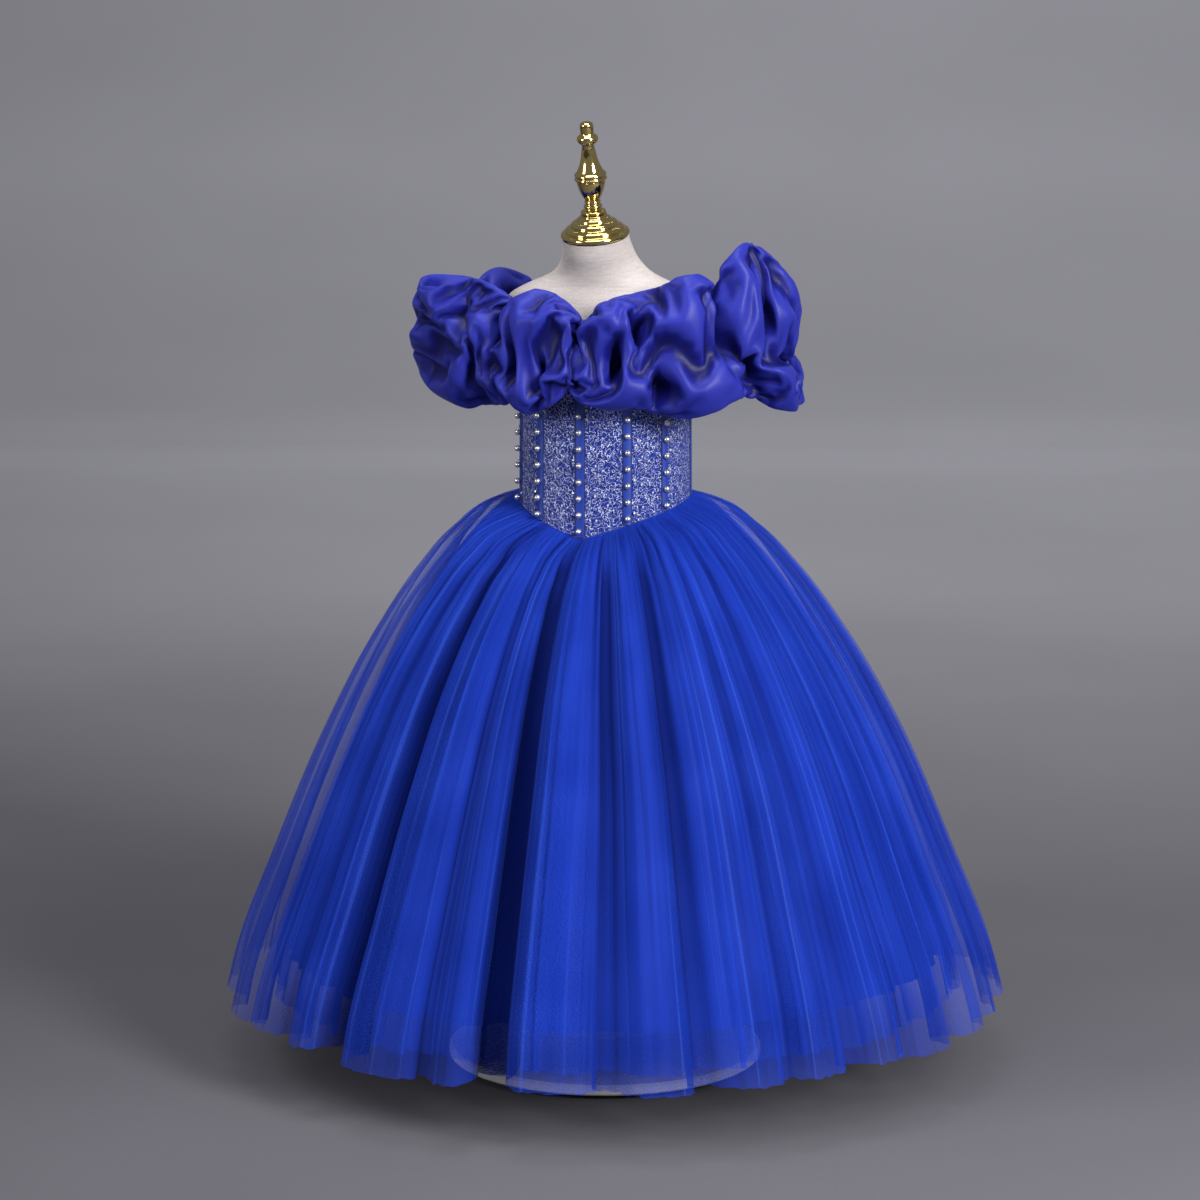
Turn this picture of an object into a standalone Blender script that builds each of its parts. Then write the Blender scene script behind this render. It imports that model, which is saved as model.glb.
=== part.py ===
"""A child's off-the-shoulder ball gown, standing on its limbless dress form.

Metres, +Z up. The floor is z = 0 under the middle of the form's base, the gown's front
faces -Y and the wearer's left is +X. Angles run round the body from the centre front,
positive towards the wearer's left, so the side is at 90 and the centre back at 180 degrees.
"""

from collections import namedtuple
from math import cos, pi, radians, sin, tan

import bmesh
import bpy
from mathutils import Matrix, Vector

# ---------------------------------------------------------------- driving dimensions

SEAM_GAP = 0.0003       # between pieces that meet at a seam or lie on each other
BODICE_WALL = 0.002     # tweed with its backing
SATIN_WALL = 0.0012
TULLE_WALL = 0.001
ORGANZA_WALL = 0.001

WAIST_Z = 0.692         # waist seam at the sides and back
BASQUE_DROP = 0.044     # how far the pointed waist dips at the centre front
BASQUE_TIP = radians(3)  # half the blunt tip of the point
BASQUE_REACH = radians(107)
BASQUE_CURVE = 1.5
NECKLINE_Z = 0.872      # top edge of the bodice, under the ruffle

HEM_Z = 0.076           # raw tulle hem above the floor

BASE_RADIUS = 0.190
BASE_THICK = 0.0125
SOCKET_RADIUS = 0.024
SOCKET_TOP_Z = 0.050
SOCKET_FLOOR_Z = 0.006
POLE_RADIUS = 0.012
FLANGE_RADIUS = 0.034
TORSO_BOTTOM_Z = 0.530
NECK_TILT = radians(13)  # the neck leans forward
NECK_TOP = Vector((0, -0.033, 0.998))

COLOURS = {             # name: (red, green, blue, roughness, metallic)
    "tulle": (0.012, 0.045, 0.42, 0.55, 0.0),
    "satin": (0.010, 0.030, 0.34, 0.38, 0.0),
    "organza": (0.016, 0.014, 0.26, 0.35, 0.0),
    "tweed": (0.09, 0.13, 0.40, 0.60, 0.0),
    "bead": (0.55, 0.52, 0.48, 0.15, 1.0),
    "brass": (0.75, 0.52, 0.16, 0.12, 1.0),
    "linen": (0.62, 0.57, 0.53, 0.85, 0.0),
    "base": (0.70, 0.70, 0.72, 0.35, 0.0),
    "pole": (0.60, 0.60, 0.62, 0.20, 1.0),
    "zip": (0.012, 0.040, 0.38, 0.30, 0.0),
}

# ---------------------------------------------------------------- scene and shared tools


def clear_scene():
    for obj in list(bpy.data.objects):
        bpy.data.objects.remove(obj, do_unlink=True)


def new_collection(name):
    collection = bpy.data.collections.new(name)
    bpy.context.scene.collection.children.link(collection)
    return collection


clear_scene()
GOWN = new_collection("ball_gown_on_dress_form")
HELPERS = new_collection("joining_helpers")


def material(name):
    found = bpy.data.materials.get(name)
    if found:
        return found
    red, green, blue, roughness, metallic = COLOURS[name]
    made = bpy.data.materials.new(name)
    made.use_nodes = True
    shader = made.node_tree.nodes["Principled BSDF"]
    shader.inputs["Base Color"].default_value = (red, green, blue, 1)
    shader.inputs["Roughness"].default_value = roughness
    shader.inputs["Metallic"].default_value = metallic
    return made


def add_object(name, mesh, finish, collection=GOWN):
    obj = bpy.data.objects.new(name, mesh)
    mesh.materials.append(material(finish))
    collection.objects.link(obj)
    return obj


def mesh_from(bm, name):
    mesh = bpy.data.meshes.new(name)
    bm.to_mesh(mesh)
    bm.free()
    return mesh


def sheet(name, columns, rows, point, wall, finish, outward=False):
    """A cloth wall: a grid bent to point(u, v), u and v from 0 to 1, then solidified.

    u runs towards the wearer's left and v upwards, so the grid faces away from the body,
    and the wall grows towards the body unless outward is set.
    """
    bm = bmesh.new()
    bmesh.ops.create_grid(bm, x_segments=columns, y_segments=rows, size=0.5)
    for vertex in bm.verts:
        vertex.co = point(vertex.co.x + 0.5, vertex.co.y + 0.5)
    mesh = mesh_from(bm, name)
    mesh.shade_smooth()
    obj = add_object(name, mesh, finish)
    solidify = obj.modifiers.new("wall", "SOLIDIFY")
    solidify.thickness = wall
    solidify.offset = 1 if outward else -1
    return obj


def turned(name, outline, steps, finish):
    """A turned piece: (radius, height) points up the outer side, spun round the Z axis."""
    bm = bmesh.new()
    corners = [bm.verts.new((radius, 0, height)) for radius, height in reversed(outline)]
    for first, second in zip(corners, corners[1:]):
        bm.edges.new((first, second))
    obj = add_object(name, mesh_from(bm, name), finish)
    screw = obj.modifiers.new("turn", "SCREW")
    screw.angle = 2 * pi
    screw.steps = screw.render_steps = steps
    screw.use_merge_vertices = True
    screw.merge_threshold = 0.00001
    return obj


def blend(rows, key, value):
    """A row read part way between two rows of a table that is sorted by its key column."""
    for low, high in zip(rows, rows[1:]):
        start, end = getattr(low, key), getattr(high, key)
        if value <= end:
            share = max(0.0, (value - start) / (end - start))
            return type(low)(*(a * (1 - share) + b * share for a, b in zip(low, high)))
    return rows[-1]


# ---------------------------------------------------------------- dress form


def form_base():
    """Round floor plate with a stepped rim and a short socket that the pole stands in."""
    bore = POLE_RADIUS + SEAM_GAP
    edge = 0.002
    outline = [
        (0, 0), (BASE_RADIUS - edge, 0), (BASE_RADIUS, edge),
        (BASE_RADIUS, BASE_THICK - 1.5 * edge), (BASE_RADIUS - 2 * edge, BASE_THICK),
        (2 * SOCKET_RADIUS, BASE_THICK + 1.5 * edge), (SOCKET_RADIUS, BASE_THICK + 4 * edge),
        (SOCKET_RADIUS - edge, SOCKET_TOP_Z), (bore, SOCKET_TOP_Z),
        (bore, SOCKET_FLOOR_Z), (0, SOCKET_FLOOR_Z),
    ]
    return turned("form_base", outline, 48, "base")


def form_pole():
    """Straight tube from the socket to a flange under the torso."""
    foot, top = SOCKET_FLOOR_Z + SEAM_GAP, TORSO_BOTTOM_Z - SEAM_GAP
    flange_edge, flange_drop = 0.006, 0.018
    outline = [
        (0, foot), (POLE_RADIUS, foot), (POLE_RADIUS, top - flange_drop),
        (FLANGE_RADIUS, top - flange_edge), (FLANGE_RADIUS, top), (0, top),
    ]
    return turned("form_pole", outline, 20, "pole")


FormSection = namedtuple("FormSection", "height half_width half_depth forward tilt")
FORM_SECTIONS = [
    FormSection(TORSO_BOTTOM_Z, 0.090, 0.078, 0.0, 0),
    FormSection(0.546, 0.106, 0.092, 0.0, 0),
    FormSection(0.600, 0.104, 0.088, 0.0, 0),
    FormSection(0.645, 0.0995, 0.0815, 0.0, 0),
    FormSection(0.690, 0.0990, 0.0810, 0.0, 0),
    FormSection(0.790, 0.0995, 0.0815, 0.0, 0),
    FormSection(0.830, 0.1042, 0.0852, 0.0, 0),
    FormSection(0.873, 0.1100, 0.0864, 0.0, 0),
    FormSection(0.890, 0.1190, 0.0790, 0.0, 0),
    FormSection(0.910, 0.1260, 0.0700, 0.0, 0),
    FormSection(0.926, 0.1160, 0.0600, 0.001, 0),
    FormSection(0.938, 0.0900, 0.0530, 0.004, 0),
    FormSection(0.950, 0.0620, 0.0480, 0.010, 3),
    FormSection(0.964, 0.0465, 0.0440, 0.018, 8),
    FormSection(0.984, 0.0405, 0.0405, 0.028, 13),
    FormSection(NECK_TOP.z, 0.0392, 0.0392, -NECK_TOP.y, 13),
]


def form_torso():
    """Linen-covered torso with rounded shoulder ends and a neck, from oval sections."""
    around = 32
    rows = len(FORM_SECTIONS) - 1
    bm = bmesh.new()
    bmesh.ops.create_grid(bm, x_segments=around, y_segments=rows, size=0.5)
    for vertex in bm.verts:
        angle = 2 * pi * (vertex.co.x + 0.5)
        section = FORM_SECTIONS[round((vertex.co.y + 0.5) * rows)]
        side = section.half_width * sin(angle)
        back = -section.half_depth * cos(angle)
        rise = back * tan(radians(section.tilt))
        vertex.co = (side, back - section.forward, section.height + rise)
    bmesh.ops.remove_doubles(bm, verts=bm.verts, dist=0.00001)
    bmesh.ops.holes_fill(bm, edges=bm.edges, sides=around)
    bmesh.ops.recalc_face_normals(bm, faces=bm.faces)
    mesh = mesh_from(bm, "form_torso")
    mesh.shade_smooth()
    return add_object("form_torso", mesh, "linen")


TurnedPoint = namedtuple("TurnedPoint", "radius height")
CAP_OUTLINE = [
    TurnedPoint(0, 0), TurnedPoint(0.0385, 0), TurnedPoint(0.0402, 0.0015),
    TurnedPoint(0.0400, 0.0045), TurnedPoint(0.0350, 0.0065), TurnedPoint(0.0330, 0.0100),
    TurnedPoint(0.0285, 0.0125), TurnedPoint(0.0262, 0.0165), TurnedPoint(0.0205, 0.0195),
    TurnedPoint(0.0165, 0.0235), TurnedPoint(0.0155, 0.0265), TurnedPoint(0, 0.0265),
]
FINIAL_OUTLINE = [
    TurnedPoint(0, 0), TurnedPoint(0.0130, 0), TurnedPoint(0.0142, 0.0022),
    TurnedPoint(0.0095, 0.0050), TurnedPoint(0.0095, 0.0110), TurnedPoint(0.0082, 0.0160),
    TurnedPoint(0.0136, 0.0265), TurnedPoint(0.0170, 0.0385), TurnedPoint(0.0188, 0.0450),
    TurnedPoint(0.0170, 0.0500), TurnedPoint(0.0130, 0.0530), TurnedPoint(0.0098, 0.0650),
    TurnedPoint(0.0074, 0.0770), TurnedPoint(0.0070, 0.0840), TurnedPoint(0.0098, 0.0865),
    TurnedPoint(0.0117, 0.0915), TurnedPoint(0.0098, 0.0960), TurnedPoint(0.0072, 0.0980),
    TurnedPoint(0.0072, 0.1070), TurnedPoint(0.0050, 0.1102), TurnedPoint(0, 0.1108),
]


def neck_metalwork():
    """Stepped brass cap on the neck, and the urn finial that screws into it."""
    lean = Matrix.Rotation(NECK_TILT, 4, "X")
    axis = lean @ Vector((0, 0, 1))
    cap = turned("neck_cap", CAP_OUTLINE, 28, "brass")
    finial = turned("neck_finial", FINIAL_OUTLINE, 20, "brass")
    cap.matrix_world = Matrix.Translation(NECK_TOP + axis * SEAM_GAP) @ lean
    cap_top = CAP_OUTLINE[-1].height + 2 * SEAM_GAP
    finial.matrix_world = Matrix.Translation(NECK_TOP + axis * cap_top) @ lean


# ---------------------------------------------------------------- bodice

BodiceSection = namedtuple("BodiceSection", "height half_width half_depth")
BODICE_SECTIONS = [      # outer face of the tweed
    BodiceSection(0.640, 0.1048, 0.0868),
    BodiceSection(0.740, 0.1040, 0.0860),
    BodiceSection(0.790, 0.1040, 0.0860),
    BodiceSection(0.830, 0.1070, 0.0880),
    BodiceSection(0.872, 0.1130, 0.0895),
]
BodicePanel = namedtuple("BodicePanel", "name start end columns")
ZIP_HALF_ANGLE = 1.7     # degrees that the zip takes on each side of the centre back
BODICE_BACK_DEPTH = 0.086
ZIP_WIDTH = 2 * (radians(ZIP_HALF_ANGLE) * BODICE_BACK_DEPTH - SEAM_GAP)
BODICE_PANELS = [        # the wearer's left half, degrees from the centre front
    BodicePanel("bodice_front_centre", 0, 31.5, 3),
    BodicePanel("bodice_front_side", 31.5, 60, 3),
    BodicePanel("bodice_side", 60, 98, 4),
    BodicePanel("bodice_back", 98, 180 - ZIP_HALF_ANGLE, 7),
]


def basque(angle):
    """Height of the waist seam: level behind, dipping to a point at the centre front."""
    share = min(1.0, max(0.0, 1 - (abs(angle) - BASQUE_TIP) / BASQUE_REACH))
    return WAIST_Z - BASQUE_DROP * share ** BASQUE_CURVE


def on_bodice(angle, height, out=0.0):
    """A point on the bodice's outer face, moved out by a distance."""
    section = blend(BODICE_SECTIONS, "height", height)
    width, depth = section.half_width + out, section.half_depth + out
    return Vector((width * sin(angle), -depth * cos(angle), height))


def levels(low, high):
    """Heights of a bodice piece's rows, with one at each bend in the figure."""
    bends = [row.height for row in BODICE_SECTIONS if low < row.height < high]
    return [low, *bends, high]


def bodice():
    """Eight tweed panels, each a stiff curved wall, joined edge to edge."""
    rows = len(levels(WAIST_Z, NECKLINE_Z)) - 1
    for panel in BODICE_PANELS:
        facet = radians(panel.end - panel.start) / panel.columns
        half_gap = (SEAM_GAP / 2 + BODICE_WALL * sin(facet / 2)) / BODICE_BACK_DEPTH
        for side, sign in (("left", 1), ("right", -1)):
            ends = sorted((sign * radians(panel.start), sign * radians(panel.end)))
            start, end = ends[0] + half_gap, ends[1] - half_gap

            def point(u, v, start=start, end=end):
                angle = start + (end - start) * u
                heights = levels(basque(angle) + SEAM_GAP, NECKLINE_Z)
                return on_bodice(angle, heights[round(v * rows)])

            sheet(f"{panel.name}_{side}", panel.columns, rows, point, BODICE_WALL, "tweed")


Channel = namedtuple("Channel", "name angle beads")
CHANNELS = [             # satin boning channels over the seams
    Channel("centre", 0, 8),
    Channel("front_left", 31.5, 7),
    Channel("front_right", -31.5, 7),
    Channel("side_front_left", 60, 7),
    Channel("side_front_right", -60, 7),
    Channel("side_left", 98, 0),
    Channel("side_right", -98, 0),
]
CHANNEL_WIDTH = 0.0105
CHANNEL_HALF_ANGLE = radians(3.8)
CHANNEL_WALL = 0.0009
CHANNEL_TOP_Z = NECKLINE_Z - 0.002
BEAD_RADIUS = 0.0034
BEAD_PITCH = 0.0195
BEAD_FOOT = 0.0075       # first bead above the waist seam
THREAD_WIDTH = 0.0016
THREAD_WALL = 0.0008
THREAD_TAIL = 0.002      # the thread runs a little past the end beads


def strip(name, angle, low, high, width, out, wall, finish, columns=2):
    """A flat strip up the bodice at an angle, its inner face raised off the bodice's."""
    half = width / 2 / on_bodice(angle, low).xy.length
    heights = levels(low, high)

    def point(u, v):
        turn = angle + half * (2 * u - 1)
        return on_bodice(turn, heights[round(v * (len(heights) - 1))], out)

    return sheet(name, columns, len(heights) - 1, point, wall, finish, outward=True)


def boning_channels():
    """Satin casings over the seams, and the metal beads sewn down five of them."""
    for channel in CHANNELS:
        angle = radians(channel.angle)
        low = basque(abs(angle) + CHANNEL_HALF_ANGLE) + 2 * SEAM_GAP
        strip(f"boning_{channel.name}", angle, low, CHANNEL_TOP_Z,
              CHANNEL_WIDTH, SEAM_GAP, CHANNEL_WALL, "satin")
        if channel.beads:
            bead_row(channel, angle, low)


def bead_row(channel, angle, low):
    """A row of round beads couched to the channel by one flat thread."""
    out = 2 * SEAM_GAP + CHANNEL_WALL
    first = low + BEAD_FOOT
    last = first + BEAD_PITCH * (channel.beads - 1)
    thread = strip(f"beads_{channel.name}", angle, first - THREAD_TAIL, last + THREAD_TAIL,
                   THREAD_WIDTH, out, THREAD_WALL, "bead", columns=1)
    bm = bmesh.new()
    for index in range(channel.beads):
        height = first + BEAD_PITCH * index
        centre = on_bodice(angle, height, out + BEAD_RADIUS + 0.0001)
        bmesh.ops.create_uvsphere(bm, u_segments=8, v_segments=5, radius=BEAD_RADIUS,
                                  matrix=Matrix.Translation(centre))
    helper = add_object(f"{channel.name}_beads_helper", mesh_from(bm, "beads"), "bead", HELPERS)
    helper.hide_render = True
    helper.display_type = "WIRE"
    join = thread.modifiers.new("beads", "BOOLEAN")
    join.operation = "UNION"
    join.object = helper


# ---------------------------------------------------------------- skirt

SkirtRow = namedtuple("SkirtRow", "share half_width half_depth back fold satin_inset")
SKIRT_ROWS = [           # share of the length from waist to hem, sizes at the fold crests
    SkirtRow(0.00, 0.1040, 0.0860, 0.000, 0.000, 0.0013),
    SkirtRow(0.02, 0.1500, 0.1360, 0.001, 0.006, 0.0280),
    SkirtRow(0.07, 0.1925, 0.1810, 0.004, 0.012, 0.0340),
    SkirtRow(0.15, 0.2360, 0.2290, 0.009, 0.016, 0.0360),
    SkirtRow(0.28, 0.2915, 0.2880, 0.016, 0.022, 0.0380),
    SkirtRow(0.47, 0.3545, 0.3520, 0.026, 0.028, 0.0420),
    SkirtRow(0.72, 0.4195, 0.4180, 0.030, 0.034, 0.0480),
    SkirtRow(0.93, 0.4690, 0.4680, 0.034, 0.038, 0.0520),
    SkirtRow(1.00, 0.4800, 0.4790, 0.036, 0.040, 0.0540),
]
SATIN_ROWS = SKIRT_ROWS[:-1]   # the underskirt stops short of the tulle hem
SEAM_DENT = 0.8
SkirtFold = namedtuple("SkirtFold", "width dent")
FRONT_FOLDS = [          # widths in degrees, dent of the valley that ends each fold
    SkirtFold(15, 0.9), SkirtFold(17, 1.0), SkirtFold(14, 0.7), SkirtFold(11, 0.9),
    SkirtFold(12, 1.0), SkirtFold(15, 0.8), SkirtFold(12, 0.7), SkirtFold(9, 1.0),
    SkirtFold(13, 0.9), SkirtFold(16, 0.7), SkirtFold(14, 1.0), SkirtFold(17, 0.9),
    SkirtFold(15, SEAM_DENT),
]
BACK_FOLDS = [
    SkirtFold(15, 0.9), SkirtFold(17, 1.0), SkirtFold(14, 0.7), SkirtFold(16, 0.9),
    SkirtFold(13, 1.0), SkirtFold(15, SEAM_DENT),
]
SkirtPiece = namedtuple("SkirtPiece", "name folds start end")
SKIRT_PIECES = [
    SkirtPiece("front", FRONT_FOLDS, -90, 90),
    SkirtPiece("back_left", BACK_FOLDS, 90, 180),
    SkirtPiece("back_right", BACK_FOLDS[-2::-1] + BACK_FOLDS[-1:], 180, 270),
]
FoldCorner = namedtuple("FoldCorner", "across dent")
TULLE_CORNERS = [FoldCorner(0.28, 0.05), FoldCorner(0.70, 0.0)]   # two crest corners
SATIN_CORNERS = [FoldCorner(0.50, 0.0)]                           # one soft crest
SATIN_RIPPLE = 0.003
SATIN_DROP = 0.0018      # its waist edge is sewn below the tulle's


def fold_columns(piece, corners):
    """Angle and dent of every column of a skirt piece, from seam valley to seam valley."""
    per_degree = radians(piece.end - piece.start) / sum(fold.width for fold in piece.folds)
    angle = radians(piece.start)
    columns = [(angle, SEAM_DENT)]
    for fold in piece.folds:
        span = fold.width * per_degree
        columns += [(angle + corner.across * span, corner.dent) for corner in corners]
        angle += span
        columns.append((angle, fold.dent))
    return columns


def skirt_point(columns, rows, in_by, drop, u, v):
    """A grid point of a skirt piece, kept half a seam gap away from its two end seams."""
    column = round(u * (len(columns) - 1))
    row = rows[round((1 - v) * (len(rows) - 1))]
    angle, dent = columns[column]
    width = row.half_width - in_by(row, dent)
    depth = row.half_depth - in_by(row, dent)
    if column in (0, len(columns) - 1):
        angle += (SEAM_GAP / 2 / depth) * (1 if column == 0 else -1)
    turn = (angle + pi) % (2 * pi) - pi
    top = basque(turn) - SEAM_GAP - drop
    height = top + (HEM_Z - top) * row.share
    return Vector((width * sin(angle), row.back - depth * cos(angle), height))


def tulle_dent(row, dent):
    return row.fold * dent


def satin_dent(row, dent):
    return row.satin_inset + min(SATIN_RIPPLE, row.fold) * dent


def skirts():
    """Satin underskirt and gathered tulle overskirt, each a front and two backs."""
    for piece in SKIRT_PIECES:
        tulle = fold_columns(piece, TULLE_CORNERS)
        satin = fold_columns(piece, SATIN_CORNERS)
        sheet(f"tulle_{piece.name}", len(tulle) - 1, len(SKIRT_ROWS) - 1,
              lambda u, v: skirt_point(tulle, SKIRT_ROWS, tulle_dent, 0, u, v),
              TULLE_WALL, "tulle")
        sheet(f"satin_{piece.name}", len(satin) - 1, len(SATIN_ROWS) - 1,
              lambda u, v: skirt_point(satin, SATIN_ROWS, satin_dent, SATIN_DROP, u, v),
              SATIN_WALL, "satin")


# ---------------------------------------------------------------- off-the-shoulder ruffle

ON_BODICE = 0.0030       # the gathering line lies on the boning channels
RuffleSection = namedtuple("RuffleSection", "angle stand height reach rise fall")
RUFFLE_SECTIONS = [      # stand: how far the gathering line stands off the bodice
    RuffleSection(-180, ON_BODICE, 0.866, 0.050, 0.066, 0.064),
    RuffleSection(-145, ON_BODICE, 0.866, 0.050, 0.066, 0.064),
    RuffleSection(-120, 0.030, 0.870, 0.050, 0.068, 0.064),
    RuffleSection(-90, 0.076, 0.876, 0.052, 0.070, 0.062),
    RuffleSection(-60, 0.036, 0.872, 0.052, 0.074, 0.064),
    RuffleSection(-35, ON_BODICE, 0.866, 0.056, 0.076, 0.060),
    RuffleSection(0, ON_BODICE, 0.866, 0.046, 0.064, 0.056),
    RuffleSection(35, ON_BODICE, 0.866, 0.056, 0.080, 0.062),
    RuffleSection(60, 0.036, 0.880, 0.056, 0.088, 0.078),
    RuffleSection(90, 0.076, 0.884, 0.056, 0.088, 0.080),
    RuffleSection(120, 0.030, 0.874, 0.050, 0.072, 0.068),
    RuffleSection(145, ON_BODICE, 0.866, 0.050, 0.066, 0.064),
    RuffleSection(180, ON_BODICE, 0.866, 0.050, 0.066, 0.064),
]
PuffCorner = namedtuple("PuffCorner", "out up")
PUFF_CORNERS = [         # up the band: lower edge, lower puff, gathering line, upper puff
    PuffCorner(0.35, -1.00), PuffCorner(0.80, -0.90), PuffCorner(1.00, -0.52),
    PuffCorner(0.60, -0.18), PuffCorner(0.00, 0.00), PuffCorner(0.62, 0.16),
    PuffCorner(1.00, 0.48), PuffCorner(0.85, 0.85), PuffCorner(0.42, 1.00),
    PuffCorner(0.12, 0.80),
]
SEAM_RADIUS = 0.10       # how far the band's seams stand from the body's axis
GATHER_DEPTH = 0.20
GATHER_DRIFT = 0.035     # how unevenly the gathers are spaced along a piece
CORNERS_PER_GATHER = 3
RufflePiece = namedtuple("RufflePiece", "name start end gathers")
RUFFLE_PIECES = [
    RufflePiece("front_left", 0, 52, 4),
    RufflePiece("sleeve_left", 52, 128, 5),
    RufflePiece("back_left", 128, 180, 4),
    RufflePiece("front_right", -52, 0, 4),
    RufflePiece("sleeve_right", -128, -52, 5),
    RufflePiece("back_right", -180, -128, 4),
]


def ruffle_point(piece, u, v):
    """A grid point of the ruffle: a band pinched along its middle into two open puffs."""
    trim = SEAM_GAP / 2 / SEAM_RADIUS
    start, end = radians(piece.start) + trim, radians(piece.end) - trim
    angle = start + (end - start) * u
    section = blend(RUFFLE_SECTIONS, "angle", angle * 180 / pi)
    corner = PUFF_CORNERS[round(v * (len(PUFF_CORNERS) - 1))]
    drifted = u + GATHER_DRIFT * sin(4 * pi * u)
    swell = 1 - GATHER_DEPTH * cos(2 * pi * piece.gathers * drifted)
    out = corner.out * section.reach * swell
    up = corner.up * (section.rise if corner.up > 0 else section.fall)
    line = on_bodice(angle, section.height, section.stand)
    return line + Vector((out * sin(angle), -out * cos(angle), up * (1 + (swell - 1) / 2)))


def ruffle():
    for piece in RUFFLE_PIECES:
        sheet(f"ruffle_{piece.name}", CORNERS_PER_GATHER * piece.gathers, len(PUFF_CORNERS) - 1,
              lambda u, v: ruffle_point(piece, u, v), ORGANZA_WALL, "organza")


# ---------------------------------------------------------------- assembly

form_base()
form_pole()
form_torso()
neck_metalwork()
bodice()
strip("back_zip", pi, WAIST_Z + SEAM_GAP, NECKLINE_Z,
      ZIP_WIDTH, -BODICE_WALL, BODICE_WALL, "zip")
boning_channels()
skirts()
ruffle()
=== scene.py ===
"""A child's royal-blue ball gown on its dress form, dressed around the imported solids.

Metres, +Z up; the gown's front faces -Y and the wearer's left is +X. Angles run round the
body from the centre front, positive towards the wearer's left.
"""

from collections import namedtuple
from math import cos, pi, radians, sin

import bpy
import numpy as np
from mathutils import Matrix, Vector


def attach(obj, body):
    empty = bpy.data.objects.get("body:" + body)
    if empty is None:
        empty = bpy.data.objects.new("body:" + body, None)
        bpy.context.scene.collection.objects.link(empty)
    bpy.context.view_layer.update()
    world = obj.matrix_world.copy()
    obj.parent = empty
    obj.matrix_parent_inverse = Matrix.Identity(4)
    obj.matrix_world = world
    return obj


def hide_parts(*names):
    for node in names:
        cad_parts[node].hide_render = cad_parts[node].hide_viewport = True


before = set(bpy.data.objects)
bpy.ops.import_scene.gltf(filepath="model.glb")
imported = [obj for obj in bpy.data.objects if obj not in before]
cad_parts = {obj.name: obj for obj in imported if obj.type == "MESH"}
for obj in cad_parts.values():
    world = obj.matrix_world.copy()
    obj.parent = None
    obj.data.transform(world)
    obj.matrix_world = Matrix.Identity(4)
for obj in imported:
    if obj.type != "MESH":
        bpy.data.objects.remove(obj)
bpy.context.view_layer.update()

# ------------------------------------------------------------------ base, socket and pole
# A round plate cut from sheet, painted a pale satin white, with a welded socket that a
# plated tube is pushed into; the tube carries the torso on a flange. Both stay as solids.


class Wire:
    """One output of a finish's nodes: sums and products of wires add their Math nodes."""

    def __init__(self, tree, socket=None):
        self.tree, self.socket = tree, socket

    def node(self, kind, settings=None, sockets=None, output=0):
        """Any node: its settings first, then the values or wires of its sockets."""
        made = self.tree.nodes.new("ShaderNode" + kind)
        for name, value in (settings or {}).items():
            setattr(made, name, value)
        for name, value in (sockets or {}).items():
            if isinstance(value, Wire):
                self.tree.links.new(value.socket, made.inputs[name])
            else:
                made.inputs[name].default_value = value
        return Wire(self.tree, made.outputs[output])

    def math(self, operation, *values):
        return self.node("Math", {"operation": operation}, dict(enumerate(values)))

    def __add__(self, other):
        return self.math("ADD", self, other)

    def __sub__(self, other):
        return self.math("SUBTRACT", self, other)

    def __rsub__(self, other):
        return self.math("SUBTRACT", other, self)

    def __mul__(self, other):
        return self.math("MULTIPLY", self, other)

    def __truediv__(self, other):
        return self.math("DIVIDE", self, other)

    def __abs__(self):
        return self.math("ABSOLUTE", self)

    __radd__, __rmul__ = __add__, __mul__

    def span(self, low, high, to_low=0.0, to_high=1.0):
        """The value stretched from low..high to a new range, held at its ends."""
        return self.node("MapRange", None, {0: self, 1: low, 2: high, 3: to_low, 4: to_high})

    def tint(self, colour, other):
        """A colour between two, by this wire."""
        ends = {0: self, 6: as_rgba(colour), 7: as_rgba(other)}
        return self.node("Mix", {"data_type": "RGBA"}, ends, output=2)

    def stretched(self, x, y, z):
        """These coordinates scaled along each axis."""
        return self.node("VectorMath", {"operation": "MULTIPLY"}, {0: self, 1: (x, y, z)})

    def noise(self, scale, detail=2.0, rough=0.5):
        return self.node("TexNoise", None, {"Vector": self, "Scale": scale, "Detail": detail,
                                            "Roughness": rough})


def as_rgba(value):
    """A colour of three numbers made solid; wires and other values pass through."""
    return (*value, 1) if isinstance(value, tuple) and len(value) == 3 else value


class Finish:
    """A material: fixed shader values, then wires into its colour, roughness and the like."""

    def __init__(self, name, **fixed):
        self.material = bpy.data.materials.new(name)
        self.material.use_nodes = True
        self.tree = self.material.node_tree
        self.shader = self.tree.nodes["Principled BSDF"]
        start = Wire(self.tree)
        self.place = start.node("TexCoord", output=3)
        self.cloth = start.node("TexCoord", output=2)
        for name, value in fixed.items():
            self.inlet(name).default_value = as_rgba(value)

    def inlet(self, name):
        return self.shader.inputs[name.replace("_", " ").title().replace("Ior", "IOR")]

    def feed(self, **wires):
        for name, wire in wires.items():
            self.tree.links.new(wire.socket, self.inlet(name))

    def emboss(self, height, distance, strength=1.0):
        bump = height.node("Bump", None, {"Height": height, "Distance": distance,
                                          "Strength": strength})
        self.feed(normal=bump)


def dress(piece, finish, slot, *nodes):
    """Gives a new piece its finish, its body and the solids that it stands for; the slot is not
    used.
    """
    piece.data.materials.clear()
    piece.data.materials.append(finish.material)
    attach(piece, "root")
    if nodes:
        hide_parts(*nodes)


def refinish(node, finish):
    """Gives a solid that stays as it is a better finish."""
    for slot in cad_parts[node].material_slots:
        slot.material = finish.material


BASE_WHITE = (0.66, 0.66, 0.69)
STEEL_GREY = (0.58, 0.58, 0.60)

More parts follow.
